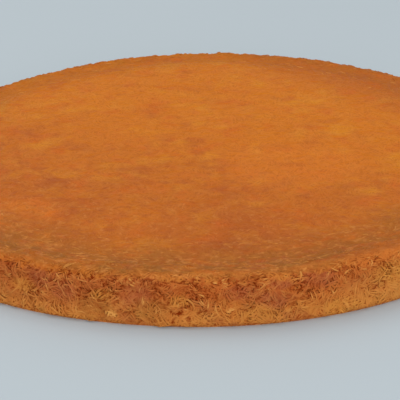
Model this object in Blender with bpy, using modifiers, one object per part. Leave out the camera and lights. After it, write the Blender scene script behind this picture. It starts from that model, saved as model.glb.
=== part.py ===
"""A whole round kunafa, turned out of its tray: a flat disc of matted, shredded pastry.

One solid, in metres, +Z up, standing on its flat foot with the origin at the foot's centre.
The pressed top dips in a shallow ring inside its rim. The wall flares a little to the foot,
its skin is lumpy, and shreds of pastry lie on it and on the rim in loops, fused to it.
"""

import math
import random

import bmesh
import bpy
import numpy as np
from mathutils import Vector, noise

MM = 0.001

# Driving dimensions
FOOT_RADIUS = 150.0 * MM
THICKNESS = 21.0 * MM
WALL_FLARE = 2.0 * MM  # how far the foot stands out past the top of the wall
RIM_ROUND = 5.0 * MM  # radius of the round-over between top and wall
FOOT_ROUND = 1.6 * MM
DIP_DEPTH = 0.8 * MM  # the shallow ring that the tray pressed into the top
DIP_WIDTH = 22.0 * MM

# Relief of the skin
WAVES_ROUND = (  # lobes, phase and height in mm of each wave of the uneven outline
    (2, 0.3, 0.3),
    (3, 2.9, 0.7),
    (4, -0.3, 0.7),
    (5, 0.0, 0.6),
    (9, 2.6, 0.2),
)
SWELL_HEIGHT = 0.5 * MM  # long swells, over the top
SWELL_SIZE = 70.0 * MM
LUMP_HEIGHT = 1.2 * MM  # lumps of matted shreds, on the wall and the rim
LUMP_SIZE = 5.5 * MM
LUMP_ROUGHNESS = 0.6
LUMP_DETAIL = 2.1
LUMP_OCTAVES = 2

# Shreds that stand out of the wall and the rim
SHREDS = 54
SHRED_RADIUS = 0.6 * MM
SHRED_STEP = 3.0 * MM
FEWEST_STEPS = 3
MOST_STEPS = 6
SHRED_BEND = 0.55  # radians that a shred may turn at each step, always the same way
SHRED_WANDER = 0.2  # radians that it may stray from that at each step
SHRED_PROUD = 0.25  # its middle stands out of the skin by this share of its radius
SHRED_INSET = 3.0 * MM  # how far onto the top a shred may reach from the crest of the rim
SHRED_CLEARANCE = 2.6 * MM  # how far above the foot's edge a shred stays, along the wall
GOLDEN_SHARE = (math.sqrt(5) - 1) / 2
SEED = 7

# How finely the solid is cut into facets
SECTORS = 220
TOP_RINGS = (0.0, 0.6)  # shares of the flat top's radius
DIP_RINGS = 3
ROUND_STEPS = 3
WALL_STEPS = 6
SHORTEST_EDGE = 0.05 * MM

# Worked out from these
WALL_TOP_RADIUS = FOOT_RADIUS - WALL_FLARE
CREST_RADIUS = WALL_TOP_RADIUS - RIM_ROUND
FLAT_RADIUS = CREST_RADIUS - DIP_WIDTH


def cross_section():
    """(r, z) points of half the section: centre of the top, rim, wall, foot, centre of the foot."""
    points = [(share * FLAT_RADIUS, THICKNESS) for share in TOP_RINGS]
    for i in range(DIP_RINGS + 1):
        share = i / DIP_RINGS
        sunk = DIP_DEPTH * (1 - math.cos(2 * math.pi * share)) / 2
        points.append((FLAT_RADIUS + share * DIP_WIDTH, THICKNESS - sunk))
    wall_top = THICKNESS - RIM_ROUND
    for i in range(1, ROUND_STEPS + 1):
        turn = math.pi / 2 * (1 - i / ROUND_STEPS)
        across, up = RIM_ROUND * math.cos(turn), RIM_ROUND * math.sin(turn)
        points.append((CREST_RADIUS + across, wall_top + up))
    for i in range(1, WALL_STEPS + 1):
        share = i / WALL_STEPS
        height = wall_top + (FOOT_ROUND - wall_top) * share
        points.append((WALL_TOP_RADIUS + WALL_FLARE * share, height))
    points.append((FOOT_RADIUS - FOOT_ROUND, 0.0))
    points.append((0.0, 0.0))
    return np.array(points)


def section_normals(section):
    """Outward unit normal, in the (r, z) plane, at each point of the section."""
    dr, dz = np.gradient(section, axis=0).T
    length = np.hypot(dr, dz)
    return np.stack([-dz / length, dr / length], axis=1)


def lengths_along(section):
    """How far each point of the section lies from its first one, measured along it."""
    steps = np.hypot(*np.diff(section, axis=0).T)
    return np.concatenate([[0.0], np.cumsum(steps)])


SECTION = cross_section()
NORMALS = section_normals(SECTION)
LENGTHS = lengths_along(SECTION)
DIP_START = LENGTHS[len(TOP_RINGS)]
CREST = LENGTHS[len(TOP_RINGS) + DIP_RINGS]
WALL_END = LENGTHS[-3]


def relief(place, along):
    """How far the skin stands out: long swells on the top, growing into lumps at the rim."""
    on_wall = min(1.0, max(0.0, (along - DIP_START) / (CREST - DIP_START))) ** 2
    swell = SWELL_HEIGHT * noise.noise(place / SWELL_SIZE)
    lump = noise.fractal(place / LUMP_SIZE, LUMP_ROUGHNESS, LUMP_DETAIL, LUMP_OCTAVES)
    return swell * (1 - on_wall) + LUMP_HEIGHT * lump * on_wall


def skin(angle, along):
    """The skin's point, and the way out of it, at an angle and at a length along the section."""
    r, z = (float(np.interp(along, LENGTHS, column)) for column in SECTION.T)
    out_r, out_z = (float(np.interp(along, LENGTHS, column)) for column in NORMALS.T)
    wobble = sum(mm * MM * math.sin(lobes * angle + phase) for lobes, phase, mm in WAVES_ROUND)
    r += wobble * r / FOOT_RADIUS
    place = Vector((r * math.cos(angle), r * math.sin(angle), z))
    out = Vector((out_r * math.cos(angle), out_r * math.sin(angle), out_z))
    height = relief(place, along) if z > 0 else 0.0
    return place + out * height, out


def clear_scene():
    for obj in list(bpy.data.objects):
        bpy.data.objects.remove(obj, do_unlink=True)


def new_collection(name):
    made = bpy.data.collections.new(name)
    bpy.context.scene.collection.children.link(made)
    return made


def pastry_material():
    material = bpy.data.materials.new("toasted_pastry")
    material.use_nodes = True
    shader = material.node_tree.nodes["Principled BSDF"]
    shader.inputs["Base Color"].default_value = (0.54, 0.19, 0.035, 1.0)
    shader.inputs["Roughness"].default_value = 0.55
    shader.inputs["Metallic"].default_value = 0.0
    return material


def evaluated_copy(obj):
    """A new mesh of the object with its modifiers applied."""
    graph = bpy.context.evaluated_depsgraph_get()
    return bpy.data.meshes.new_from_object(obj.evaluated_get(graph))


def turned_disc(collection):
    """The smooth disc: the section turned round Z with a Screw modifier."""
    mesh = bpy.data.meshes.new("kunafa")
    edges = [(i, i + 1) for i in range(len(SECTION) - 1)]
    mesh.from_pydata([(r, 0.0, z) for r, z in SECTION], edges, [])
    disc = bpy.data.objects.new("kunafa", mesh)
    collection.objects.link(disc)
    screw = disc.modifiers.new("turn", "SCREW")
    screw.steps = screw.render_steps = SECTORS
    screw.use_merge_vertices = True
    screw.merge_threshold = SHORTEST_EDGE
    disc.data = evaluated_copy(disc)
    disc.modifiers.clear()
    return disc


def give_relief(disc):
    """Moves each vertex to the uneven skin, then splits each face along its shorter diagonal."""
    shape = bmesh.new()
    shape.from_mesh(disc.data)
    for vertex in shape.verts:
        r, z = math.hypot(vertex.co.x, vertex.co.y), vertex.co.z
        nearest = int(np.argmin(np.hypot(SECTION[:, 0] - r, SECTION[:, 1] - z)))
        vertex.co = skin(math.atan2(vertex.co.y, vertex.co.x), LENGTHS[nearest])[0]
    bmesh.ops.triangulate(shape, faces=shape.faces, quad_method="SHORT_EDGE")
    shape.to_mesh(disc.data)
    shape.free()


def shred_path(number, rng):
    """Points of one shred, which turns one way in a loop over the rim or the wall.

    The shreds start at even angles, and at heights that step by the golden share, so that
    they are spread evenly over the skin.
    """
    highest, lowest = CREST - SHRED_INSET, WALL_END - SHRED_CLEARANCE
    angle = 2 * math.pi * (number + rng.random()) / SHREDS
    along = highest + (lowest - highest) * (number * GOLDEN_SHARE % 1)
    heading = rng.uniform(0, 2 * math.pi)
    bend = rng.uniform(-SHRED_BEND, SHRED_BEND)
    points = []
    for _ in range(rng.randint(FEWEST_STEPS, MOST_STEPS) + 1):
        place, out = skin(angle, along)
        points.append(place + out * SHRED_RADIUS * SHRED_PROUD)
        angle += SHRED_STEP * math.cos(heading) / FOOT_RADIUS
        along = min(lowest, max(highest, along + SHRED_STEP * math.sin(heading)))
        heading += bend + rng.uniform(-SHRED_WANDER, SHRED_WANDER)
    return points


def add_shred(points, collection):
    """One shred as a closed mesh: a four-sided tube along its points."""
    curve = bpy.data.curves.new("shred", "CURVE")
    curve.dimensions = "3D"
    curve.bevel_depth = SHRED_RADIUS
    curve.bevel_resolution = 0
    curve.use_fill_caps = True
    spline = curve.splines.new("POLY")
    spline.points.add(len(points) - 1)
    for point, place in zip(spline.points, points, strict=True):
        point.co = (*place, 1.0)
    guide = bpy.data.objects.new("shred_guide", curve)
    collection.objects.link(guide)
    mesh = evaluated_copy(guide)
    bpy.data.objects.remove(guide)
    tube = bmesh.new()
    tube.from_mesh(mesh)
    bmesh.ops.remove_doubles(tube, verts=tube.verts, dist=SHORTEST_EDGE)
    tube.to_mesh(mesh)
    tube.free()
    collection.objects.link(bpy.data.objects.new("shred", mesh))


def fuse(disc, shreds):
    """Joins the shreds to the disc with one Boolean union, then removes them."""
    union = disc.modifiers.new("fuse_shreds", "BOOLEAN")
    union.operation = "UNION"
    union.operand_type = "COLLECTION"
    union.collection = shreds
    union.solver = "MANIFOLD"
    disc.data = evaluated_copy(disc)
    disc.modifiers.clear()
    for obj in list(shreds.objects):
        bpy.data.objects.remove(obj, do_unlink=True)
    bpy.data.collections.remove(shreds)


def keep_outer_skin(disc):
    """Keeps the largest shell: a hollow that the union sealed is filled, a loose scrap dropped."""
    shape = bmesh.new()
    shape.from_mesh(disc.data)
    left, shells = set(shape.verts), []
    while left:
        stack, shell = [left.pop()], set()
        while stack:
            vertex = stack.pop()
            shell.add(vertex)
            near = {edge.other_vert(vertex) for edge in vertex.link_edges} & left
            left -= near
            stack += near
        shells.append(shell)
    largest = max(shells, key=len)
    for shell in shells:
        if shell is not largest:
            bmesh.ops.delete(shape, geom=list(shell), context="VERTS")
    shape.to_mesh(disc.data)
    shape.free()


def centre_on_origin(disc):
    """Slides the disc sideways until its box is centred over the origin."""
    places = np.array([vertex.co for vertex in disc.data.vertices])
    middle = (places.min(axis=0) + places.max(axis=0)) / 2
    for vertex in disc.data.vertices:
        vertex.co.x -= middle[0]
        vertex.co.y -= middle[1]


def main():
    clear_scene()
    disc = turned_disc(new_collection("kunafa"))
    give_relief(disc)
    shreds = new_collection("shreds")
    rng = random.Random(SEED)
    for number in range(SHREDS):
        add_shred(shred_path(number, rng), shreds)
    fuse(disc, shreds)
    keep_outer_skin(disc)
    centre_on_origin(disc)
    disc.data.materials.clear()
    disc.data.materials.append(pastry_material())


main()
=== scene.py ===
"""Looks of a whole round kunafa, a disc of matted shredded pastry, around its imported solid.

A core of the solid's own form carries the real shreds, each a tube at true size: a pressed
mat of them on the top, and curly ones on the rim and the wall. Metres, +Z up, and the foot's
centre is the origin.
"""

import math

import bpy
import numpy as np
from mathutils import Matrix, Vector, noise


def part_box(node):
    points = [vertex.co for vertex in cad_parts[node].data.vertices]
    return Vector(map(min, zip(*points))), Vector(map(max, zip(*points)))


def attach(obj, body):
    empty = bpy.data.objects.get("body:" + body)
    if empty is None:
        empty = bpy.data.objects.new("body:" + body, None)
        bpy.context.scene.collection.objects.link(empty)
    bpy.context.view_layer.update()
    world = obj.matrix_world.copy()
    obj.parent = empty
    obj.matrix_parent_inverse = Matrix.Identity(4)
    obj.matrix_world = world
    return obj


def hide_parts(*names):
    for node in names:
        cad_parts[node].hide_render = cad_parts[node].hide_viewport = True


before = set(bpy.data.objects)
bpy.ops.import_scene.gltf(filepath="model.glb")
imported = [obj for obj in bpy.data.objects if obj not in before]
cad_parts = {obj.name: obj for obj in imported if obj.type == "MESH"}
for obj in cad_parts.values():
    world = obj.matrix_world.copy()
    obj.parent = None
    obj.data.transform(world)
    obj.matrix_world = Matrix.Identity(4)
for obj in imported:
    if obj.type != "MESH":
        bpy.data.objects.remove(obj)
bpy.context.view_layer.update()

MM = 0.001
NODE = "kunafa"

# The solid's own dimensions, from its CAD
FOOT_RADIUS = 150.0 * MM
THICKNESS = 21.0 * MM
WALL_FLARE = 2.0 * MM
RIM_ROUND = 5.0 * MM
FOOT_ROUND = 1.6 * MM
DIP_DEPTH = 0.8 * MM
DIP_WIDTH = 22.0 * MM
WAVES_ROUND = (  # lobes, phase and height in mm of each wave of the uneven outline
    (2, 0.3, 0.3),
    (3, 2.9, 0.7),
    (4, -0.3, 0.7),
    (5, 0.0, 0.6),
    (9, 2.6, 0.2),
)
SWELL_HEIGHT = 0.5 * MM
SWELL_SIZE = 70.0 * MM
LUMP_HEIGHT = 1.2 * MM
LUMP_SIZE = 5.5 * MM
LUMP_ROUGHNESS = 0.6
LUMP_DETAIL = 2.1
LUMP_OCTAVES = 2
CREST_LUMPS = 0.45  # share of the lumps' height that the crest of the rim has
CENTRE_SLIDE = np.array([0.177, 1.186, 0.0]) * MM  # the solid was slid back by this, to centre it

# The core under the shreds
CORE_SECTORS = 384
FLAT_RINGS = 40
DIP_RINGS = 16
ROUND_STEPS = 8
WALL_STEPS = 14
FOOT_RINGS = 10
TOP_RECESS = 0.10 * MM
WALL_RECESS = 1.15 * MM
TEXTURE_STRIPS = 7  # of the wall, above one another
BOX_MARGIN = 0.02 * MM

# How freely the wall's shreds lie, in patches
LOOSE_MEAN = 0.88
LOOSE_SWING = 0.9
LOOSE_LIMITS = (0.45, 1.2)
LOOSE_PATCH = 8 * MM
LOOSE_NOISE = 70.0  # how far off its noise is read, apart from the other noises
FOOT_LOOSENESS = 0.4
LOOSE_RISE = 18 * MM

# How the shreds run, turns in radians
LENGTH_STRAY = (0.6, 1.15)  # of a shred, as a share of its bundle's length
HEADING_STRAY = 0.10
BEND_STRAY = 0.3  # as a share of the bend
SIDE_STRAY = 0.3  # as a share of the spacing
WIGGLE = 0.15
WIGGLE_WAVES = (0.7, 1.6)
HOOKED_SHARE = 0.15  # of the bundles
HOOK_TURN = (0.8, 2.0)
HOOK_KNEE = 0.35  # how far from the middle a hook may lie, as a share of the length
HOOK_SHARPNESS = 6  # a hook takes one part in so many of the length
HOOK_LENGTH = 7 * MM  # a shorter shred turns less
WALL_BEND = 0.15  # for each mm
WALL_SPACING = 1.0 * MM
TOP_BEND = 0.05  # for each mm
TOP_SPACING = 0.8 * MM
STEP_ROUND = 0.7548776662  # share of the way round the wall from one bundle to the next
STEP_DOWN = 0.5698402910  # share of the band's width from one bundle to the next
STEP_ON_TOP = 3 - math.sqrt(5)  # half turns from one bundle on the top to the next
BAND_MARGIN = 2 * MM  # how far a shred may lie beyond its band
OVER_CREST = 2.5 * MM  # how far the top's shreds may reach over the crest

# How the shreds lie, heights in mm
LEVEL_STRAY = 0.07  # of a shred from its bundle
ARCH_WAVES = (1.0, 2.0)  # along a shred
WALL_TIP_DIVE = 0.5
ACCENT_SINK = 0.6  # for each unit of a dark accent
ACCENT_RISE = 0.2  # for each unit of a pale one
TOP_ARCH = 0.06
TOP_ARCH_WAVES = (0.8, 2.0)
TOP_TIP_DIVE = 0.12

# Pits between the wall's shreds
PIT_DEPTH = 1.0  # in mm
PIT_SIZE = 1.5 * MM
PIT_NOISE = 40.0  # how far off their noise is read, apart from the other noises
PIT_RANGE = (0.12, 0.26)  # of the noise, from no pit to a whole one
PIT_RISE = (1 * MM, 11 * MM)  # up the wall, from the least to the most
FOOT_PITS = 0.3  # the least
PIT_ONSET = (1 * MM, 4 * MM)  # beyond the crest, from none to all
LOOSE_PITS = 1.2  # for each unit of looseness, up to 1 in all

# The shreds' tones: at 0 a shred has the colour of its place, at 1 it is pale, and below 0 it darkens
# towards painted shade
# Besides random differences, the tones carry painted shade and light: lower shreds and those in pits darker,
# higher ones paler
BUNDLE_TONES = 0.12
SHRED_TONES = 0.11
PRESSED_TONES = 0.4  # share of their variety that shreds keep when pressed together
WALL_HEIGHT_SHADING = 0.45  # painted shade and light, for each mm: deeper shreds darker, higher ones paler
TOP_HEIGHT_SHADING = 0.3  # painted shade and light, for each mm: deeper shreds darker, higher ones paler
# Painted shade: how much darker a shred is for each unit of pit
PIT_SHADE_TONE = 0.25
FULL_SHADE_TONE = -0.8  # the tone that is wholly the painted shade of a pit

# A shred's section: three sides, and shares of its radius
SIDES = 3
TIP_TAPER = 0.25
TIP_REACH = 0.5
PRESSED_RIDGE = 0.25
LOOSE_RIDGE = 0.5  # added where it lies loose
WALL_KEEL = 0.4
TOP_KEEL = 0.6

# Shares of the texture left clear: of a shred's cell, and of a strip of the wall
CELL_TIP = 0.06
CELL_END = 0.12
CELL_SIDE = 0.06
STRIP_END = 0.01
STRIP_SIDE = 0.04

# Dark accents are painted shade in deep spots; pale ones at 18 mm and up are partly a painted highlight on
# the rim
# Places on the near side of the wall: degrees round, then height and half-sizes in mm
ACCENTS = (  # with how much paler, or darker and deeper, the shreds are there
    (-104.5, 4.8, 2.0, 1.2, 0.9),
    (-99.5, 10.8, 0.6, 1.4, 0.45),
    (-86.4, 7.5, 1.5, 0.8, 0.7),
    (-94.5, 6.4, 2.4, 0.6, -1.2),
    (-95.0, 3.0, 0.6, 1.2, -1.0),
    (-92.8, 3.6, 0.5, 1.0, -0.8),
    (-100.5, 18.3, 5.0, 2.6, 0.24),
    (-88.0, 19.0, 5.0, 2.0, 0.20),
    (-69.5, 19.2, 5.0, 2.0, 0.24),
    (-76.5, 16.0, 5.0, 1.4, -0.15),
)
BROWNED = (  # patches toasted browner than the rest
    (-116.0, 15.0, 6.0, 4.0),
    (-112.0, 12.0, 6.0, 4.0),
    (-100.5, 12.2, 6.5, 4.8),
    (-85.5, 14.3, 6.0, 3.0),
    (-73.0, 16.5, 8.0, 3.5),
    (-80.0, 10.5, 6.0, 4.0),
    (-79.0, 16.5, 5.0, 2.2),
)
DULLED = (  # patches of a duller, olive brown
    (-107.0, 7.0, 8.0, 5.0),
    (-98.5, 7.5, 8.0, 4.5),
)
GILDED = (  # patches paler and more golden than the rest
    (-104.5, 4.8, 2.2, 1.3),
    (-119.0, 11.0, 6.0, 3.0),
    (-106.0, 12.0, 5.0, 2.5),
    (-82.5, 5.0, 9.0, 4.0),
    (-70.0, 4.0, 10.0, 3.5),
    (-94.0, 11.0, 5.0, 2.5),
    (-60.5, 13.5, 10.0, 5.0),
)
GLOWING = (  # patches of the top of a brighter orange: x, y and half-sizes in mm
    (40.0, -35.0, 38.0, 32.0),
    (-78.0, -85.0, 18.0, 18.0),
)

# Shares of its half-size at which an accent has faded out, and at which a patch has and is whole
ACCENT_EDGE = 1.5
PATCH_EDGE = (1.3, 0.5)

# Directions on the top, x and y, which aren't of unit length
FORWARD = (-0.45, -1.0)
FAR_RIGHT = (0.75, 0.66)

RING_MIDDLE = 149.5 * MM  # of the olive ring on the top, less the 0 to 20 mm that it is drawn in

# The photograph's camera: its place, mm of lens and sensor, and turns in degrees
CAMERA_PLACE = (-0.2 * MM, -551.3 * MM, 231.5 * MM)
CAMERA_LENS = 108.0
CAMERA_SENSOR = 36.0
CAMERA_CLIP = (0.01, 20.0)
PITCH_DOWN = 23.82
YAW_RIGHT = -0.23
ROLL_LEFT = -1.28

# The floor and the sky
FLOOR_HALF = 3.0
FLOOR_COLOUR = (0.50, 0.555, 0.585, 1.0)
FLOOR_ROUGHNESS = 0.9
FLOOR_SPECULAR = 0.1
SKY_COLOUR = (0.95, 0.98, 1.0, 1.0)
SKY_STRENGTH = 0.66

# Worked out from the dimensions above
WALL_TOP_RADIUS = FOOT_RADIUS - WALL_FLARE
CREST_RADIUS = WALL_TOP_RADIUS - RIM_ROUND
FLAT_RADIUS = CREST_RADIUS - DIP_WIDTH
FLAT_TEXTURE = 2.04 * FOOT_RADIUS  # the width of the top's texture, and of the foot's
CREST_RING = FLAT_RINGS + DIP_RINGS
TOP_END_RING = CREST_RING + 4  # over the crest, where the top's piece meets the wall's
WALL_RING = CREST_RING + ROUND_STEPS
FOOT_RING = WALL_RING + WALL_STEPS


def cross_section():
    """(r, z) points of half the section: centre of the top, rim, wall, foot, centre of the foot."""
    points = [(FLAT_RADIUS * i / FLAT_RINGS, THICKNESS) for i in range(FLAT_RINGS)]
    for i in range(DIP_RINGS + 1):
        share = i / DIP_RINGS
        sunk = DIP_DEPTH * (1 - math.cos(2 * math.pi * share)) / 2
        points.append((FLAT_RADIUS + share * DIP_WIDTH, THICKNESS - sunk))
    wall_top = THICKNESS - RIM_ROUND
    for i in range(1, ROUND_STEPS + 1):
        turn = math.pi / 2 * (1 - i / ROUND_STEPS)
        across, up = RIM_ROUND * math.cos(turn), RIM_ROUND * math.sin(turn)
        points.append((CREST_RADIUS + across, wall_top + up))
    for i in range(1, WALL_STEPS + 1):
        share = i / WALL_STEPS
        height = wall_top + (FOOT_ROUND - wall_top) * share
        points.append((WALL_TOP_RADIUS + WALL_FLARE * share, height))
    for i in range(FOOT_RINGS):
        points.append(((FOOT_RADIUS - FOOT_ROUND) * (1 - i / FOOT_RINGS), 0.0))
    points.append((0.0, 0.0))
    return np.array(points)


def section_normals(section):
    """Outward unit normal, in the (r, z) plane, at each point of the section."""
    dr, dz = np.gradient(section, axis=0).T
    length = np.hypot(dr, dz)
    return np.stack([-dz / length, dr / length], axis=1)


def lengths_along(section):
    """How far each point of the section lies from its first one, measured along it."""
    steps = np.hypot(*np.diff(section, axis=0).T)
    return np.concatenate([[0.0], np.cumsum(steps)])


SECTION = cross_section()
NORMALS = section_normals(SECTION)
LENGTHS = lengths_along(SECTION)
DIP_START, CREST = LENGTHS[FLAT_RINGS], LENGTHS[CREST_RING]
WALL_START, WALL_END = LENGTHS[WALL_RING], LENGTHS[FOOT_RING]
FOOT_START = LENGTHS[FOOT_RING + 1]
LOWEST_SHRED = WALL_END + 0.8 * FOOT_ROUND
RIM_BAND = (CREST - 6 * MM, WALL_START)
WALL_BAND = (WALL_START - 3 * MM, WALL_END)


def ramp(values, start, end):
    """0 to 1 as the values go from start to end."""
    return np.clip((values - start) / (end - start), 0, 1)


def noise_at(places, size, offset=0.0):
    """Noise from -1 to 1 at places, its patches about so large."""
    flat = places.reshape(-1, 3) / size + offset
    values = np.array([noise.noise(Vector(place)) for place in flat])
    return values.reshape(places.shape[:-1])


def lumps_at(places):
    """The solid's lumps, from -1 to 1 at places."""
    flat = places.reshape(-1, 3) / LUMP_SIZE
    values = [noise.fractal(Vector(place), LUMP_ROUGHNESS, LUMP_DETAIL, LUMP_OCTAVES) for place in flat]
    return np.array(values).reshape(places.shape[:-1])


def relief(places, along):
    """How far the skin stands out: long swells on the top, growing into lumps at the rim."""
    on_wall = ramp(along, DIP_START, CREST) ** 2
    on_wall = on_wall * (CREST_LUMPS + (1 - CREST_LUMPS) * ramp(along - CREST, 0, RIM_ROUND))
    swell = noise_at(places, SWELL_SIZE)
    return SWELL_HEIGHT * swell * (1 - on_wall) + LUMP_HEIGHT * lumps_at(places) * on_wall


def skin(angle, along):
    """The solid's skin, and the way out of it, at angles and at lengths along the section."""
    r, z = (np.interp(along, LENGTHS, column) for column in SECTION.T)
    out_r, out_z = (np.interp(along, LENGTHS, column) for column in NORMALS.T)
    wobble = sum(mm * MM * np.sin(lobes * angle + phase) for lobes, phase, mm in WAVES_ROUND)
    r = r * (1 + wobble / FOOT_RADIUS)
    places = np.stack([r * np.cos(angle), r * np.sin(angle), z], axis=-1)
    out = np.stack([out_r * np.cos(angle), out_r * np.sin(angle), out_z], axis=-1)
    height = relief(places, along) * ramp(along, FOOT_START, WALL_END)
    return places + out * height[..., None] - CENTRE_SLIDE, out


def inside_box(places):
    """The places, moved inside the solid's own box."""
    low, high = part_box(NODE)
    margin = BOX_MARGIN * np.array([1, 1, 0])
    return np.clip(places, np.array(low) + margin, np.array(high) - BOX_MARGIN)


def looseness(places):
    """How freely the wall's shreds lie, 0 where pressed together: in patches, less at the foot."""
    patches = LOOSE_MEAN + LOOSE_SWING * noise_at(places, LOOSE_PATCH, LOOSE_NOISE)
    above_foot = np.clip(FOOT_LOOSENESS + places[..., 2] / LOOSE_RISE, 0, 1)
    return above_foot * np.clip(patches, *LOOSE_LIMITS)


def add_piece(name, mesh, material):
    """Adds one of the pieces that take the solid's place."""
    mesh.materials.append(material)
    piece = bpy.data.objects.new(name, mesh)
    bpy.context.scene.collection.objects.link(piece)
    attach(piece, "root")
    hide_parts(NODE)
    return piece


# ---------------------------------------------------------------- the core


def core_rings(first, last):
    """The skin over some rings of the section, as rings × sectors places, sunk under the shreds."""
    angle = np.linspace(0, 2 * math.pi, CORE_SECTORS, endpoint=False)
    along = np.repeat(LENGTHS[first : last + 1, None], CORE_SECTORS, axis=1)
    places, out = skin(np.broadcast_to(angle, along.shape), along)
    on_wall = ramp(along - CREST, 0, RIM_ROUND)
    deepest = WALL_RECESS * looseness(places)
    recess = (TOP_RECESS + (deepest - TOP_RECESS) * on_wall) * (along <= WALL_END)
    return inside_box(places - out * recess[..., None])


def corners_between(rings):
    """The ring and the sector of each corner of the faces between so many rings."""
    ring, sector = np.meshgrid(np.arange(rings - 1), np.arange(CORE_SECTORS), indexing="ij")
    rows = np.stack([ring, ring + 1, ring + 1, ring], axis=-1).reshape(-1, 4)
    columns = np.stack([sector, sector, sector + 1, sector + 1], axis=-1).reshape(-1, 4)
    return rows, columns


def core_mesh(name, vertices, faces, uv):
    """A mesh with a place on the baked texture for each corner."""
    mesh = bpy.data.meshes.new(name)
    mesh.from_pydata(vertices.tolist(), [], faces)
    mesh.uv_layers.new(name="OFBake").uv.foreach_set("vector", uv.astype(np.float32).ravel())
    mesh.shade_smooth()
    return mesh


def add_flat_core(name, first, last, outwards, material):
    """The core's top or foot, its middle a fan of triangles round one vertex."""
    rings = core_rings(first, last)
    rows, columns = corners_between(len(rings))
    faces = (rows * CORE_SECTORS + columns % CORE_SECTORS).tolist()
    middle = len(rings) * CORE_SECTORS
    around = np.arange(CORE_SECTORS)
    if outwards:
        centre = core_rings(0, 0)[0, :1]
        faces += [(middle, a, (a + 1) % CORE_SECTORS) for a in around.tolist()]
    else:
        centre = core_rings(len(SECTION) - 1, len(SECTION) - 1)[0, :1]
        start = middle - CORE_SECTORS
        faces += [(start + a, middle, start + (a + 1) % CORE_SECTORS) for a in around.tolist()]
    vertices = np.concatenate([rings.reshape(-1, 3), centre])
    corners = np.concatenate([np.array(face) for face in faces])
    uv = 0.5 + vertices[corners, :2] / FLAT_TEXTURE
    return add_piece(name, core_mesh(name, vertices, faces, uv), material)


def add_wall_core(name, first, last, material):
    """The core's wall, its texture cut into strips that lie above one another."""
    rings = core_rings(first, last)
    rows, columns = corners_between(len(rings))
    faces = (rows * CORE_SECTORS + columns % CORE_SECTORS).tolist()
    each = CORE_SECTORS / TEXTURE_STRIPS
    strip = np.minimum(columns.min(axis=1, keepdims=True) // each, TEXTURE_STRIPS - 1)
    u = STRIP_END + (1 - 2 * STRIP_END) * (columns - strip * each) / each
    v = (strip + STRIP_SIDE + (1 - 2 * STRIP_SIDE) * rows / (len(rings) - 1)) / TEXTURE_STRIPS
    uv = np.stack([u, v], axis=-1)
    return add_piece(name, core_mesh(name, rings.reshape(-1, 3), faces, uv), material)


# ---------------------------------------------------------------- the shreds


def bundled_paths(rng, bundles, each, points, length, spread, bend, spacing):
    """Paths in a plane, centred on 0, in bundles whose shreds lie side by side and turn together."""
    count = bundles * each

    def alike(draws):
        return np.repeat(draws, each, axis=0)

    along = np.linspace(-0.5, 0.5, points - 1)
    total = alike(rng.uniform(*length, (bundles, 1))) * rng.uniform(*LENGTH_STRAY, (count, 1))
    heading = alike(rng.uniform(-1, 1, (bundles, 1))) * spread * math.pi / 2
    heading = heading + rng.normal(0, HEADING_STRAY, (count, 1))
    turn = alike(rng.normal(0, bend, (bundles, 1))) + rng.normal(0, BEND_STRAY * bend, (count, 1))
    heading = heading + turn * total / MM * along
    phase, waves = rng.uniform(0, 2 * math.pi, (count, 1)), rng.uniform(*WIGGLE_WAVES, (count, 1))
    heading = heading + WIGGLE * np.sin(phase + 2 * math.pi * waves * along)
    knee = alike(rng.uniform(-HOOK_KNEE, HOOK_KNEE, (bundles, 1)))
    hooked = alike(rng.uniform(*HOOK_TURN, (bundles, 1)) * (rng.random((bundles, 1)) < HOOKED_SHARE))
    hooked = hooked * np.clip(total / HOOK_LENGTH, 0, 1)
    heading = heading + hooked * np.clip((along - knee) * HOOK_SHARPNESS + 0.5, 0, 1)
    step = total / (points - 1)
    path = np.stack([np.cos(heading), np.sin(heading)], axis=-1) * step[..., None]
    path = np.concatenate([np.zeros((count, 1, 2)), np.cumsum(path, axis=1)], axis=1)
    path = path - path.mean(axis=1, keepdims=True)
    ahead = np.gradient(path, axis=1)
    beside = np.stack([-ahead[..., 1], ahead[..., 0]], axis=-1)
    beside = beside / np.linalg.norm(beside, axis=-1, keepdims=True)
    rank = np.arange(count) % each - (each - 1) / 2 + rng.normal(0, SIDE_STRAY, count)
    return path + beside * rank[:, None, None] * spacing


def shred_pattern(points):
    """Corners and texture places, within one shred, of its quads and then of its tip triangles."""
    u = CELL_END + (1 - 2 * CELL_END) * np.linspace(0, 1, points)
    v = CELL_SIDE + (1 - 2 * CELL_SIDE) * np.arange(SIDES + 1) / SIDES
    quads, quad_uv, tips, tip_uv = [], [], [], []
    end = (points - 1) * SIDES
    for k in range(SIDES):
        beside = (k + 1) % SIDES
        for i in range(points - 1):
            a, b = i * SIDES, (i + 1) * SIDES
            quads.append((a + k, b + k, b + beside, a + beside))
            quad_uv.append(((u[i], v[k]), (u[i + 1], v[k]), (u[i + 1], v[k + 1]), (u[i], v[k + 1])))
        middle = (v[k] + v[k + 1]) / 2
        tips.append((points * SIDES, k, beside))
        tip_uv.append(((CELL_TIP, middle), (u[0], v[k]), (u[0], v[k + 1])))
        tips.append((points * SIDES + 1, end + beside, end + k))
        tip_uv.append(((1 - CELL_TIP, middle), (u[-1], v[k + 1]), (u[-1], v[k])))
    return np.array(quads), np.array(quad_uv), np.array(tips), np.array(tip_uv)


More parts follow.
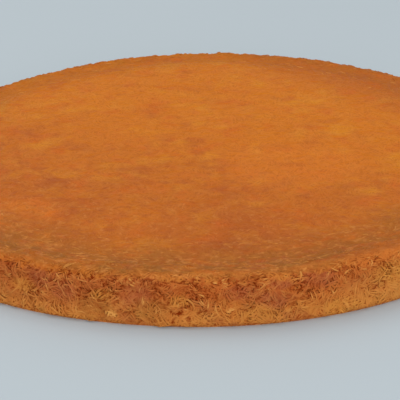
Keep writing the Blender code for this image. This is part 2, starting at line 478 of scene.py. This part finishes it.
def shred_vertices(places, out, radius, ridge, keel):
    """Rings of three corners round each path, ridge outwards, and a tip at each end of it."""
    count, points = places.shape[:2]
    ahead = np.gradient(places, axis=1)
    ahead /= np.linalg.norm(ahead, axis=-1, keepdims=True)
    side = np.cross(ahead, out)
    side /= np.linalg.norm(side, axis=-1, keepdims=True)
    up = np.cross(side, ahead)
    taper = 1 - TIP_TAPER * np.abs(np.linspace(-1, 1, points)) ** 4
    size = radius[:, None, None, None] * taper[None, :, None, None]
    across = np.array([0.0, 1.0, -1.0])[None, None, :, None]
    ridge = np.broadcast_to(ridge, (count, points))
    low = np.full_like(ridge, -keel)
    height = np.stack([ridge, low, low], axis=2)[..., None]
    ring = places[:, :, None] + (up[:, :, None] * height + side[:, :, None] * across) * size
    reach = TIP_REACH * radius[:, None]
    tips = np.stack([places[:, 0] - ahead[:, 0] * reach, places[:, -1] + ahead[:, -1] * reach], 1)
    return np.concatenate([ring.reshape(count, points * SIDES, 3), tips], axis=1)


def sharpen_lower_edges(mesh, points, each):
    """Marks the two lower edges of each shred as sharp, so that its sides shade apart."""
    ends = np.empty(len(mesh.edges) * 2, np.int32)
    mesh.edges.foreach_get("vertices", ends)
    place = ends.reshape(-1, 2) % each
    lower = (place < points * SIDES).all(axis=1) & (place % SIDES != 0).all(axis=1)
    lower &= place[:, 0] % SIDES == place[:, 1] % SIDES
    mesh.attributes.new("sharp_edge", "BOOLEAN", "EDGE").data.foreach_set("value", lower)


def add_shreds(name, places, out, radius, tone, ridge, keel, material):
    """One mesh of three-sided tubes along the places, each with its own cell of the texture."""
    count, points = places.shape[:2]
    each = points * SIDES + 2
    vertices = inside_box(shred_vertices(places, out, radius, ridge, keel))
    quads, quad_uv, tips, tip_uv = shred_pattern(points)
    offsets = np.arange(count)[:, None, None] * each
    corners = np.concatenate([(offsets + quads).ravel(), (offsets + tips).ravel()])
    cells = math.ceil(math.sqrt(count))
    cell = np.stack([np.arange(count) % cells, np.arange(count) // cells], axis=1)
    cell = cell[:, None, None]
    uv = np.concatenate([(cell + quad_uv).reshape(-1, 2), (cell + tip_uv).reshape(-1, 2)]) / cells
    quad_count, tip_count = count * len(quads), count * len(tips)
    starts = np.concatenate([np.arange(quad_count) * 4, quad_count * 4 + np.arange(tip_count) * 3])
    mesh = bpy.data.meshes.new(name)
    mesh.vertices.add(count * each)
    mesh.vertices.foreach_set("co", vertices.astype(np.float32).ravel())
    mesh.loops.add(len(corners))
    mesh.loops.foreach_set("vertex_index", corners.astype(np.int32))
    mesh.polygons.add(len(starts))
    mesh.polygons.foreach_set("loop_start", starts.astype(np.int32))
    mesh.uv_layers.new(name="OFBake").uv.foreach_set("vector", uv.astype(np.float32).ravel())
    tone = np.concatenate([np.repeat(tone, SIDES, axis=1), tone[:, [0, -1]]], axis=1)
    tones = mesh.attributes.new("tone", "FLOAT", "POINT")
    tones.data.foreach_set("value", tone.astype(np.float32).ravel())
    mesh.update(calc_edges=True)
    mesh.shade_smooth()
    sharpen_lower_edges(mesh, points, each)
    return add_piece(name, mesh, material)


def accents_at(angle, places):
    """How much paler, or darker and deeper, the shreds are at the places on the wall: the dark ones as
    painted shade, the pale ones high on the rim partly as a painted highlight.
    """
    value = np.zeros(angle.shape)
    for degrees, z, half_width, half_height, strength in ACCENTS:
        off = (angle - math.radians(degrees) + math.pi) % (2 * math.pi) - math.pi
        across = off * FOOT_RADIUS / MM / half_width
        up = (places[..., 2] / MM - z) / half_height
        value += strength * np.clip(ACCENT_EDGE - np.hypot(across, up), 0, 1)
    return value


def pits_at(places, along, loose):
    """How much of a pit there is between the shreds, 0 to 1: less at the foot, none on the crest."""
    pits = ramp(noise_at(places, PIT_SIZE, PIT_NOISE), *PIT_RANGE)
    pits = pits * np.maximum(ramp(places[..., 2], *PIT_RISE), FOOT_PITS)
    pits = pits * ramp(along - CREST, *PIT_ONSET)
    return pits * np.minimum(LOOSE_PITS * loose, 1)


def wall_shreds(name, material, seed, bundles, each, points, band, length, depth, arch, radius, tone,
                spread=1.0):
    """Curly shreds on the rim and the wall, spread evenly over a band of the section."""
    rng = np.random.default_rng(seed)
    count = bundles * each
    length = np.array(length) * MM
    path = bundled_paths(rng, bundles, each, points, length, spread, WALL_BEND, WALL_SPACING)
    number = np.repeat(np.arange(bundles) + rng.uniform(-0.5, 0.5, bundles), each)[:, None]
    angle = 2 * math.pi * (number * STEP_ROUND % 1) + path[..., 0] / FOOT_RADIUS
    along = band[0] + (band[1] - band[0]) * (number * STEP_DOWN % 1) + path[..., 1]
    along = along - np.maximum(along.max(axis=1, keepdims=True) - LOWEST_SHRED, 0)
    along = np.clip(along, band[0] - BAND_MARGIN, band[1] + BAND_MARGIN)
    places, out = skin(angle, along)
    loose = looseness(places)
    accent = accents_at(angle, places)
    pits = pits_at(places, along, loose)
    level = np.repeat(rng.uniform(*depth, (bundles, 1)), each, axis=0)
    level = level + rng.normal(0, LEVEL_STRAY, (count, 1))
    phase, waves = rng.uniform(0, 2 * math.pi, (count, 1)), rng.uniform(*ARCH_WAVES, (count, 1))
    share = np.linspace(0, 1, points)
    height = level + rng.uniform(*arch, (count, 1)) * np.sin(phase + 2 * math.pi * waves * share)
    height = height * loose - WALL_TIP_DIVE * np.abs(2 * share - 1) ** 4
    height = height + ACCENT_SINK * np.minimum(accent, 0) + ACCENT_RISE * np.maximum(accent, 0)
    height = height - PIT_DEPTH * pits
    places = places + out * height[..., None] * MM
    radius = rng.uniform(*radius, count) * MM
    shade = np.repeat(rng.normal(tone, BUNDLE_TONES, (bundles, 1)), each, axis=0)
    shade = shade + rng.normal(0, SHRED_TONES, (count, 1))
    shade = shade * (PRESSED_TONES + (1 - PRESSED_TONES) * loose)
    # Painted shade and light: shreds lying deeper or in pits darker, higher ones paler
    shade = shade + WALL_HEIGHT_SHADING * height - PIT_SHADE_TONE * pits + accent
    ridge = PRESSED_RIDGE + LOOSE_RIDGE * loose
    return add_shreds(name, places, out, radius, shade, ridge, WALL_KEEL, material)


def top_shreds(name, material, seed, bundles, each, points, reach, length, depth, radius, tone, variety,
               flat, spread=1.0):
    """Shreds pressed into the top, spread evenly over it, that dip under one another."""
    rng = np.random.default_rng(seed)
    count = bundles * each
    length = np.array(length) * MM
    path = bundled_paths(rng, bundles, each, points, length, spread, TOP_BEND, TOP_SPACING)
    number = np.repeat(np.arange(bundles) + 0.5, each)[:, None]
    inner, outer = reach
    r = np.sqrt(inner**2 + (outer**2 - inner**2) * number / bundles) * MM
    angle = number * math.pi * STEP_ON_TOP + seed
    x = (r + path[..., 1]) * np.cos(angle) - path[..., 0] * np.sin(angle)
    y = (r + path[..., 1]) * np.sin(angle) + path[..., 0] * np.cos(angle)
    r = np.minimum(np.hypot(x, y), CREST_RADIUS + OVER_CREST)
    on_top = slice(TOP_END_RING + 1)
    places, out = skin(np.arctan2(y, x), np.interp(r, SECTION[on_top, 0], LENGTHS[on_top]))
    share = np.linspace(0, 2 * math.pi, points)
    phase = rng.uniform(0, 2 * math.pi, (count, 1))
    turns = rng.uniform(*TOP_ARCH_WAVES, (count, 1))
    height = rng.uniform(*depth, (count, 1)) + TOP_ARCH * np.sin(phase + turns * share)
    height = height - TOP_TIP_DIVE * np.abs(share / math.pi - 1) ** 4
    places = places + out * height[..., None] * MM
    radius = rng.uniform(*radius, count) * MM
    # Painted shade and light: shreds sunk deeper darker, higher ones paler
    shade = tone + np.abs(rng.normal(0, variety, (count, 1))) + TOP_HEIGHT_SHADING * height
    return add_shreds(name, places, out, radius, shade, flat, TOP_KEEL, material)


# ---------------------------------------------------------------- materials

ROUGH_NOISE = 0.6
TOP_MOTTLES = 14 * MM
WALL_MOTTLES = 11 * MM
RING_BLOTS = 4.5 * MM
GRAIN = 1.2 * MM
GLOW_SHARE = 0.34
SPECULAR = 0.04
SHRED_ROUGHNESS = (0.45, 0.68)
MAT_ROUGHNESS = (0.68, 0.48)
FIBRE_STRETCH = 0.12
MAT_LAYERS = (  # widths of patches and fibres, as multiples of the mat's, and how far off they lie
    (8, 1.2, 0.0),
    (6, 1.0, 3.1),
    (5, 0.9, 7.7),
)


def add_node(tree, kind, **settings):
    """Adds a node with its settings."""
    node = tree.nodes.new(kind)
    for name, value in settings.items():
        setattr(node, name, value)
    return node


def feed(tree, place, value):
    """Links a socket to an input, or sets the input to a number or a colour."""
    if isinstance(value, bpy.types.NodeSocket):
        tree.links.new(value, place)
    elif isinstance(value, tuple) and place.type == "RGBA":
        place.default_value = (*value, 1.0)
    else:
        place.default_value = value


def maths(tree, operation, *values):
    """The result of a maths node on sockets or numbers."""
    node = add_node(tree, "ShaderNodeMath", operation=operation)
    for place, value in zip(node.inputs, values):
        feed(tree, place, value)
    return node.outputs[0]


def vectors(tree, operation, *values):
    """The result of a vector maths node, which is a number for a length or a dot product."""
    node = add_node(tree, "ShaderNodeVectorMath", operation=operation)
    for place, value in zip(node.inputs, values):
        feed(tree, place, value)
    return node.outputs["Value" if operation in ("LENGTH", "DOT_PRODUCT") else "Vector"]


def product(tree, value, *factors):
    """The value times all of the factors."""
    for factor in factors:
        value = maths(tree, "MULTIPLY", value, factor)
    return value


def larger(tree, first, second):
    """The larger of two values."""
    return maths(tree, "MAXIMUM", first, second)


def unchanged(tree, place):
    """The place itself, of which 2D textures read only x and y."""
    return place


def flattened(tree, place):
    """A place without its height."""
    return vectors(tree, "MULTIPLY", place, (1.0, 1.0, 0.0))


def shifted(tree, place, distance):
    """A place elsewhere, where noise of the same size looks different."""
    return vectors(tree, "ADD", place, (0.0, distance, 0.0))


def towards(tree, place, direction):
    """How far a place lies in a direction, times the direction's own length."""
    return vectors(tree, "DOT_PRODUCT", place, (*direction, 0.0))


def ranged(tree, value, low, high, to_low=0.0, to_high=1.0):
    """The value, taken smoothly from one range to another."""
    node = add_node(tree, "ShaderNodeMapRange", interpolation_type="SMOOTHSTEP")
    feed(tree, node.inputs["Value"], value)
    for name, number in (("From Min", low), ("From Max", high), ("To Min", to_low), ("To Max", to_high)):
        feed(tree, node.inputs[name], number)
    return node.outputs["Result"]


def cloudy(tree, place, size, detail=2.0, roughness=0.5):
    """Noise, 0 to 1, whose patches are about so large."""
    node = add_node(tree, "ShaderNodeTexNoise")
    feed(tree, node.inputs["Vector"], place)
    feed(tree, node.inputs["Scale"], 1 / size)
    feed(tree, node.inputs["Detail"], detail)
    feed(tree, node.inputs["Roughness"], roughness)
    return node.outputs["Fac"]


def mottles(tree, place, size, detail=3.0):
    """Three separate noises, 0 to 1, whose patches are about so large."""
    node = add_node(tree, "ShaderNodeTexNoise")
    feed(tree, node.inputs["Vector"], place)
    feed(tree, node.inputs["Scale"], 1 / size)
    feed(tree, node.inputs["Detail"], detail)
    feed(tree, node.inputs["Roughness"], ROUGH_NOISE)
    split = add_node(tree, "ShaderNodeSeparateColor")
    feed(tree, split.inputs[0], node.outputs["Color"])
    return split.outputs


def mixed(tree, share, first, second):
    """Two colours mixed by a share, each a socket or a colour."""
    node = add_node(tree, "ShaderNodeMix", data_type="RGBA")
    for place, value in ((node.inputs[0], share), (node.inputs[6], first), (node.inputs[7], second)):
        feed(tree, place, value)
    return node.outputs[2]


def srgb(red, green, blue):
    """The linear colour of one given in 0 to 255."""
    return tuple(
        (c / 255 / 12.92) if c / 255 <= 0.04045 else ((c / 255 + 0.055) / 1.055) ** 2.4
        for c in (red, green, blue)
    )


STRAW = srgb(214, 146, 76)
TAN = srgb(216, 150, 76)
YELLOW = srgb(216, 138, 40)
ORANGE = srgb(209, 118, 29)
GLOW = srgb(224, 124, 38)
RED = srgb(203, 98, 31)
BROWN = srgb(168, 82, 36)
# The ring inside the rim: partly its own olive brown, partly painted shade where the top dips
OLIVE_BROWN = srgb(154, 94, 39)
# Pale gold: on the crest partly a painted highlight, elsewhere the top's pale mottles
RIM_GOLD = srgb(199, 121, 51)
RIM_RED = srgb(200, 107, 43)
# Pale flecks: partly paler shreds, partly painted highlights where shreds catch the light
FLECK_AND_GLINT = srgb(208, 132, 66)
WALL_GOLDEN = srgb(199, 130, 60)
WALL_ORANGE = srgb(196, 121, 52)
WALL_RED = srgb(182, 94, 38)
WALL_BROWN = srgb(164, 88, 45)
WALL_MAUVE = srgb(163, 84, 50)
WALL_OLIVE = srgb(156, 94, 36)
WALL_GILT = srgb(208, 142, 58)
# Painted shade: the dark red-brown that stands for the shade in the pits and gaps between shreds
PIT_SHADE = srgb(128, 44, 0)
WALL_TINTS = (  # patches of the wall, and how strongly they are tinted
    (BROWNED, 0.56, WALL_MAUVE),
    (DULLED, 0.5, WALL_OLIVE),
    (GILDED, 0.4, WALL_GILT),
)


def around_and_up(tree, place):
    """How far round the wall a place is, and its height, as a flat place in metres."""
    split = add_node(tree, "ShaderNodeSeparateXYZ")
    feed(tree, split.inputs[0], place)
    turn = maths(tree, "ARCTAN2", split.outputs["Y"], split.outputs["X"])
    join = add_node(tree, "ShaderNodeCombineXYZ")
    feed(tree, join.inputs["X"], maths(tree, "MULTIPLY", turn, FOOT_RADIUS))
    feed(tree, join.inputs["Y"], split.outputs["Z"])
    return join.outputs[0]


def fibres(tree, flat_place, patch, width, offset):
    """Matted fibres, 0 to 1: patches of fine lines, each patch running its own way."""
    moved = vectors(tree, "ADD", flat_place, (offset, offset, 0.0))
    patches = add_node(tree, "ShaderNodeTexVoronoi", voronoi_dimensions="2D")
    feed(tree, patches.inputs["Vector"], moved)
    feed(tree, patches.inputs["Scale"], 1 / patch)
    chance = add_node(tree, "ShaderNodeSeparateColor")
    feed(tree, chance.inputs[0], patches.outputs["Color"])
    turned = add_node(tree, "ShaderNodeVectorRotate", rotation_type="Z_AXIS")
    feed(tree, turned.inputs["Vector"], moved)
    feed(tree, turned.inputs["Angle"], maths(tree, "MULTIPLY", chance.outputs[0], 2 * math.pi))
    stretched = vectors(tree, "MULTIPLY", turned.outputs[0], (FIBRE_STRETCH, 1.0, 1.0))
    lines = add_node(tree, "ShaderNodeTexNoise", noise_dimensions="2D")
    feed(tree, lines.inputs["Vector"], stretched)
    feed(tree, lines.inputs["Scale"], 1 / width)
    feed(tree, lines.inputs["Detail"], 1.0)
    return lines.outputs["Fac"]


def matted(tree, flat_place, width):
    """Three layers of fibres, the topmost of them at each place."""
    first, second, third = (
        fibres(tree, flat_place, patch * width, fibre * width, offset) for patch, fibre, offset in MAT_LAYERS
    )
    return larger(tree, larger(tree, first, second), third)


def round_and_out(tree, place, r, stretch):
    """A place on the top, drawn together so far round it, so that noise runs in streaks there."""
    flat = vectors(tree, "NORMALIZE", flattened(tree, place))
    shrunk = FOOT_RADIUS / stretch
    flat = vectors(tree, "MULTIPLY", flat, (shrunk, shrunk, 0.0))
    join = add_node(tree, "ShaderNodeCombineXYZ")
    feed(tree, join.inputs["Z"], r)
    return vectors(tree, "ADD", flat, join.outputs[0])


def top_base(tree, place, r, forward):
    """Mottled orange, golden to the back, browner to the front and along the far edge."""
    yellow, red, brown = mottles(tree, place, TOP_MOTTLES, 2.0)
    near = ranged(tree, forward, -50 * MM, 130 * MM, 0.0, 1.25)
    colour = mixed(tree, product(tree, cloudy(tree, place, 50 * MM), near), ORANGE, BROWN)
    far = ranged(tree, forward, 130 * MM, 0.0, 0.25, 0.65)
    colour = mixed(tree, product(tree, ranged(tree, yellow, 0.45, 0.80), far), colour, YELLOW)
    far_edge = ranged(tree, r, 105 * MM, 140 * MM, 0.0, 0.25)
    far_edge = product(tree, far_edge, ranged(tree, forward, 0.0, -60 * MM))
    far_right = ranged(tree, towards(tree, place, FAR_RIGHT), 80 * MM, 130 * MM, 0.0, 0.58)
    colour = mixed(tree, larger(tree, far_edge, far_right), colour, BROWN)
    colour = mixed(tree, ranged(tree, red, 0.45, 0.80, 0.0, 0.7), colour, RED)
    brown = ranged(tree, brown, 0.50, 0.80, 0.0, 0.7)
    brown = product(tree, brown, ranged(tree, forward, -40 * MM, 80 * MM, 0.5, 1.0))
    colour = mixed(tree, brown, colour, BROWN)
    glowing = patches_at(tree, flattened(tree, place), GLOWING)
    return mixed(tree, product(tree, glowing, GLOW_SHARE), colour, GLOW)


def olive_ring_and_dip_shade(tree, place, r, forward, blots):
    """How strong the streaky ring inside the rim is, partly painted shade of the dip: a narrow one over a
    fainter wide one.
    """
    drawn_in = product(tree, cloudy(tree, place, 30 * MM), 20 * MM)
    off = maths(tree, "SUBTRACT", maths(tree, "ADD", r, drawn_in), RING_MIDDLE)
    off = maths(tree, "ABSOLUTE", off)
    narrow = ranged(tree, off, 13 * MM, 2 * MM, 0.0, 0.95)
    narrow = product(tree, narrow, ranged(tree, blots, 0.38, 0.62))
    wide = ranged(tree, off, 29 * MM, 6 * MM, 0.0, 0.72)
    wide = product(tree, wide, ranged(tree, blots, 0.25, 0.55))
    to_front = ranged(tree, forward, -60 * MM, 60 * MM, 0.45, 1.0)
    on_rim = ranged(tree, r, 144.5 * MM, 148 * MM, 1.0, 0.4)
    return product(tree, larger(tree, narrow, wide), to_front, on_rim)


def golden_rim_and_highlight(tree, x, r, blots):
    """How golden the crest of the rim is, partly a painted highlight on the rounded lip: less so over the
    blots of the ring and at the left.
    """
    crest = ranged(tree, r, 141 * MM, 145.5 * MM)
    clear = ranged(tree, blots, 0.35, 0.60, 0.85, 0.1)
    return product(tree, crest, clear, ranged(tree, x, -60 * MM, -25 * MM, 0.1, 1.0))


def speckled(tree, colour, place, r, forward):
    """The top's colour with small dark and pale mottles, spots and streaks, most at the front, the pale ones
    partly painted highlights.
    """
    pale, dark, _ = mottles(tree, shifted(tree, place, 7.0), 4.5 * MM)
    to_front = ranged(tree, forward, -20 * MM, 100 * MM, 0.3, 1.0)
    dark = product(tree, ranged(tree, dark, 0.48, 0.75, 0.0, 0.55), to_front)
    colour = mixed(tree, dark, colour, BROWN)
    pale = product(tree, ranged(tree, pale, 0.50, 0.75, 0.0, 0.5), to_front)
    colour = mixed(tree, pale, colour, RIM_GOLD)
    # Pale spots and streaks: partly paler shreds, partly painted highlights where shreds catch the light
    spots = ranged(tree, cloudy(tree, place, 2.6 * MM, 1.0), 0.58, 0.72)
    spots = product(tree, spots, ranged(tree, forward, 0.0, 120 * MM, 0.0, 0.4))
    colour = mixed(tree, spots, colour, FLECK_AND_GLINT)
    streaks = ranged(tree, cloudy(tree, round_and_out(tree, place, r, 3.0), 1.6 * MM, 1.0), 0.57, 0.70)
    streaks = product(tree, streaks, ranged(tree, r, 118 * MM, 136 * MM, 0.0, 0.45))
    streaks = product(tree, streaks, ranged(tree, forward, 0.0, 80 * MM, 0.2, 1.0))
    return mixed(tree, streaks, colour, FLECK_AND_GLINT)


def top_colour(tree, place, x):
    """Mottled orange, a streaky olive-brown ring inside the rim, partly painted shade, and redder curls at
    its right.
    """
    r = vectors(tree, "LENGTH", flattened(tree, place))
    forward = towards(tree, place, FORWARD)
    blots = cloudy(tree, round_and_out(tree, place, r, 2.6), RING_BLOTS, 3.0, ROUGH_NOISE)
    colour = top_base(tree, place, r, forward)
    colour = mixed(tree, olive_ring_and_dip_shade(tree, place, r, forward, blots), colour, OLIVE_BROWN)
    colour = mixed(tree, golden_rim_and_highlight(tree, x, r, blots), colour, RIM_GOLD)
    colour = speckled(tree, colour, place, r, forward)
    curls = ranged(tree, x, 40 * MM, 60 * MM, 0.0, 0.5)
    curls = product(tree, curls, ranged(tree, r, 137 * MM, 142 * MM))
    curls = product(tree, curls, ranged(tree, forward, 0.0, 50 * MM))
    reds = mixed(tree, ranged(tree, r, 143 * MM, 146.5 * MM), WALL_RED, RIM_RED)
    return mixed(tree, curls, colour, reds)


def patches_at(tree, flat, patches):
    """1 inside soft-edged patches, fading to 0 round them: their centres and half-sizes in mm."""
    value = 0.0
    for across, up, half_width, half_height in patches:
        off = vectors(tree, "SUBTRACT", flat, (across * MM, up * MM, 0.0))
        off = vectors(tree, "DIVIDE", off, (half_width * MM, half_height * MM, 1.0))
        near = ranged(tree, vectors(tree, "LENGTH", off), *PATCH_EDGE)
        value = larger(tree, value, near)
    return value


def wall_patches(tree, place, patches):
    """The same on the wall, where the first number of each patch is in degrees round it."""
    arc = math.radians(1) * FOOT_RADIUS / MM
    flat_patches = [(degrees * arc, *rest) for degrees, *rest in patches]
    return patches_at(tree, around_and_up(tree, place), flat_patches)


def wall_colour(tree, place, x, z):
    """Redder above and golden below, browner at the left, and more golden at the right; golden below partly
    as painted light against the shade at the foot.
    """
    golden, _, brown = mottles(tree, shifted(tree, place, 5.0), WALL_MOTTLES)
    # Golden below: partly paler pastry, partly painted light that offsets the shade at the foot
    height = ranged(tree, z, 3 * MM, 15 * MM)
    colour = mixed(tree, height, WALL_ORANGE, WALL_RED)
    left = ranged(tree, x, 10 * MM, -40 * MM, 0.0, 0.45)
    left = product(tree, left, ranged(tree, z, 1 * MM, 8 * MM))
    browner = larger(tree, left, ranged(tree, brown, 0.45, 0.66, 0.0, 0.7))
    colour = mixed(tree, browner, colour, WALL_BROWN)
    low = ranged(tree, height, 0.0, 1.0, 0.8, 0.1)
    low = product(tree, low, ranged(tree, golden, 0.44, 0.70, 0.0, 0.8))
    right = ranged(tree, x, 40 * MM, 80 * MM, 0.0, 0.8)
    right = product(tree, right, ranged(tree, z, 19 * MM, 11 * MM, 0.15, 1.0))
    colour = mixed(tree, larger(tree, low, right), colour, WALL_GOLDEN)
    for patches, share, tint in WALL_TINTS:
        share = product(tree, wall_patches(tree, place, patches), share)
        colour = mixed(tree, share, colour, tint)
    reds, golds, _ = mottles(tree, shifted(tree, place, 9.0), 3 * MM)
    colour = mixed(tree, ranged(tree, reds, 0.45, 0.75, 0.0, 0.4), colour, WALL_RED)
    return mixed(tree, ranged(tree, golds, 0.45, 0.75, 0.0, 0.3), colour, WALL_GOLDEN)


def toast_and_painted_light_colour(tree, place):
    """Browning by place, with painted shade and light at the rim and the foot, on the top and on the wall,
    which meet along a ragged line.
    """
    split = add_node(tree, "ShaderNodeSeparateXYZ")
    feed(tree, split.inputs[0], place)
    x, z = split.outputs["X"], split.outputs["Z"]
    ragged = product(tree, cloudy(tree, place, 4 * MM, 2.0, ROUGH_NOISE), 6 * MM)
    below = maths(tree, "SUBTRACT", z, ragged)
    on_top = ranged(tree, below, THICKNESS - 6.1 * MM, THICKNESS - 4.6 * MM)
    return mixed(tree, on_top, wall_colour(tree, place, x, z), top_colour(tree, place, x))


def new_pastry(name):
    """A new material, with its tree and shader and the place on the object."""
    material = bpy.data.materials.new(name)
    material.use_nodes = True
    tree = material.node_tree
    place = add_node(tree, "ShaderNodeTexCoord").outputs["Object"]
    return material, tree, tree.nodes["Principled BSDF"], place


def finish_surface(tree, shader, height, bump_height, rough):
    """Roughness and bump from one height field."""
    feed(tree, shader.inputs["Roughness"], ranged(tree, height, 0.3, 0.7, *rough))
    bump = add_node(tree, "ShaderNodeBump")
    feed(tree, bump.inputs["Distance"], bump_height)
    feed(tree, bump.inputs["Height"], height)
    feed(tree, shader.inputs["Normal"], bump.outputs[0])
    feed(tree, shader.inputs["Specular IOR Level"], SPECULAR)


def shred_material(name, pale, bump_height):
    """Pastry shreds, each a little paler or darker than the last, and darkened to painted shade where their
    tone is low.
    """
    material, tree, shader, place = new_pastry(name)
    colour = toast_and_painted_light_colour(tree, place)
    tone = add_node(tree, "ShaderNodeAttribute", attribute_name="tone").outputs["Fac"]
    colour = mixed(tree, ranged(tree, tone, 0.0, 1.0), colour, pale)
    colour = mixed(tree, ranged(tree, tone, 0.0, FULL_SHADE_TONE), colour, PIT_SHADE)
    feed(tree, shader.inputs["Base Color"], colour)
    grain = cloudy(tree, place, GRAIN, 4.0, ROUGH_NOISE)
    finish_surface(tree, shader, grain, bump_height, SHRED_ROUGHNESS)
    return material


def mat_material(name, flat_place_of, width, bump_height, shade):
    """The matted pastry that shows between the shreds, its low places darkened by painted shade, the share
    shade of the pit colour.
    """
    material, tree, shader, place = new_pastry(name)
    height = matted(tree, flat_place_of(tree, place), width)
    colour = toast_and_painted_light_colour(tree, place)
    # Painted shade in the mat's low places and in the gaps between the shreds
    colour = mixed(tree, ranged(tree, height, 0.45, 0.65, shade, 0.0), colour, PIT_SHADE)
    feed(tree, shader.inputs["Base Color"], colour)
    finish_surface(tree, shader, height, bump_height, MAT_ROUGHNESS)
    return material


# ---------------------------------------------------------------- camera, floor and light


def add_camera():
    """The camera of the photograph, fitted to the far edge, the near lip and the foot."""
    data = bpy.data.cameras.new("camera")
    data.lens = CAMERA_LENS
    data.sensor_width = CAMERA_SENSOR
    data.clip_start, data.clip_end = CAMERA_CLIP
    pitch, yaw, roll = math.radians(PITCH_DOWN), math.radians(YAW_RIGHT), math.radians(ROLL_LEFT)
    forward = Vector((math.sin(yaw) * math.cos(pitch), math.cos(yaw) * math.cos(pitch), -math.sin(pitch)))
    right = forward.cross(Vector((0, 0, 1))).normalized()
    up = right.cross(forward)
    across = right * math.cos(roll) + up * math.sin(roll)
    upward = up * math.cos(roll) - right * math.sin(roll)
    turn = Matrix((across, upward, -forward)).transposed().to_4x4()
    camera = bpy.data.objects.new("camera", data)
    camera.matrix_world = Matrix.Translation(CAMERA_PLACE) @ turn
    bpy.context.scene.collection.objects.link(camera)
    bpy.context.scene.camera = camera


def add_floor():
    """The plain floor under the kunafa."""
    mesh = bpy.data.meshes.new("floor")
    signs = ((-1, -1), (1, -1), (1, 1), (-1, 1))
    mesh.from_pydata([(x * FLOOR_HALF, y * FLOOR_HALF, 0) for x, y in signs], [], [(0, 1, 2, 3)])
    floor = bpy.data.objects.new("floor", mesh)
    bpy.context.scene.collection.objects.link(floor)
    material = bpy.data.materials.new("floor")
    material.use_nodes = True
    shader = material.node_tree.nodes["Principled BSDF"]
    shader.inputs["Base Color"].default_value = FLOOR_COLOUR
    shader.inputs["Roughness"].default_value = FLOOR_ROUGHNESS
    shader.inputs["Specular IOR Level"].default_value = FLOOR_SPECULAR
    mesh.materials.append(material)


def add_softbox(name, place, size, power):
    """A soft light that faces the kunafa."""
    light = bpy.data.lights.new(name, "AREA")
    light.shape = "RECTANGLE"
    light.size, light.size_y = size
    light.energy = power
    lamp = bpy.data.objects.new(name, light)
    lamp.location = place
    lamp.rotation_euler = Vector(place).to_track_quat("Z", "Y").to_euler()
    bpy.context.scene.collection.objects.link(lamp)


def add_light():
    """A pale sky, with a soft light high at the back left and one low at the front."""
    world = bpy.data.worlds.new("studio")
    bpy.context.scene.world = world
    world.use_nodes = True
    sky = world.node_tree.nodes["Background"]
    sky.inputs["Color"].default_value = SKY_COLOUR
    sky.inputs["Strength"].default_value = SKY_STRENGTH
    add_softbox("key", place=(-1.0, 0.8, 2.2), size=(2.0, 2.0), power=18)
    add_softbox("fill", place=(0.3, -2.2, 0.9), size=(2.2, 1.4), power=30)
    bpy.context.scene.view_settings.view_transform = "Standard"


# ---------------------------------------------------------------- the kunafa


def add_core():
    """The three pieces under the shreds: top, wall and foot."""
    # shade: how much painted pit shade the mat's low places take
    top = mat_material("top_mat", unchanged, width=0.8 * MM, bump_height=0.15 * MM, shade=0.25)
    wall = mat_material("wall_mat", around_and_up, width=0.6 * MM, bump_height=0.35 * MM, shade=0.8)
    foot = mat_material("foot_mat", unchanged, width=0.8 * MM, bump_height=0.2 * MM, shade=0.3)
    add_flat_core("top_mat", 1, TOP_END_RING, True, top)
    add_wall_core("wall_mat", TOP_END_RING, FOOT_RING + 1, wall)
    add_flat_core("foot_mat", FOOT_RING + 1, len(SECTION) - 2, False, foot)


def add_top():
    """Long shreds over the whole top, and short ones in the ring inside the rim."""
    pressed = shred_material("pressed_shreds", STRAW, 0.05 * MM)
    top_shreds("top_shreds", pressed, seed=11, bundles=1950, each=2, points=7, reach=(0, 142),
               length=(8, 22), depth=(-0.09, 0.0), radius=(0.30, 0.45), tone=-0.02, variety=0.04,
               flat=0.10)
    top_shreds("ring_shreds", pressed, seed=12, bundles=1500, each=2, points=6, reach=(117, 145),
               length=(2, 6), depth=(-0.08, 0.10), radius=(0.22, 0.34), tone=-0.06, variety=0.24,
               flat=0.25, spread=0.4)


def add_wall():
    """Curly shreds on the rim, and three layers of them on the wall."""
    curly = shred_material("curly_shreds", TAN, 0.12 * MM)
    wall_shreds("rim_shreds", curly, seed=13, bundles=2300, each=2, points=7, band=RIM_BAND,
                length=(4, 9), depth=(-0.40, 0.0), arch=(0, 0.15), radius=(0.26, 0.36), tone=0.06,
                spread=0.7)
    wall_shreds("wall_shreds", curly, seed=14, bundles=1300, each=3, points=8, band=WALL_BAND,
                length=(7, 13), depth=(-1.1, -0.1), arch=(0.1, 0.35), radius=(0.32, 0.43), tone=0.13,
                spread=0.85)
    wall_shreds("wall_fine_shreds", curly, seed=15, bundles=1900, each=2, points=8, band=WALL_BAND,
                length=(6, 11), depth=(-0.9, 0.1), arch=(0.1, 0.35), radius=(0.28, 0.37), tone=0.14)
    wall_shreds("wall_loose_shreds", curly, seed=16, bundles=1000, each=2, points=6, band=WALL_BAND,
                length=(4, 8), depth=(-0.2, 0.2), arch=(0.1, 0.35), radius=(0.25, 0.34), tone=0.20)


add_camera()
add_floor()
add_light()
add_core()
add_top()
add_wall()
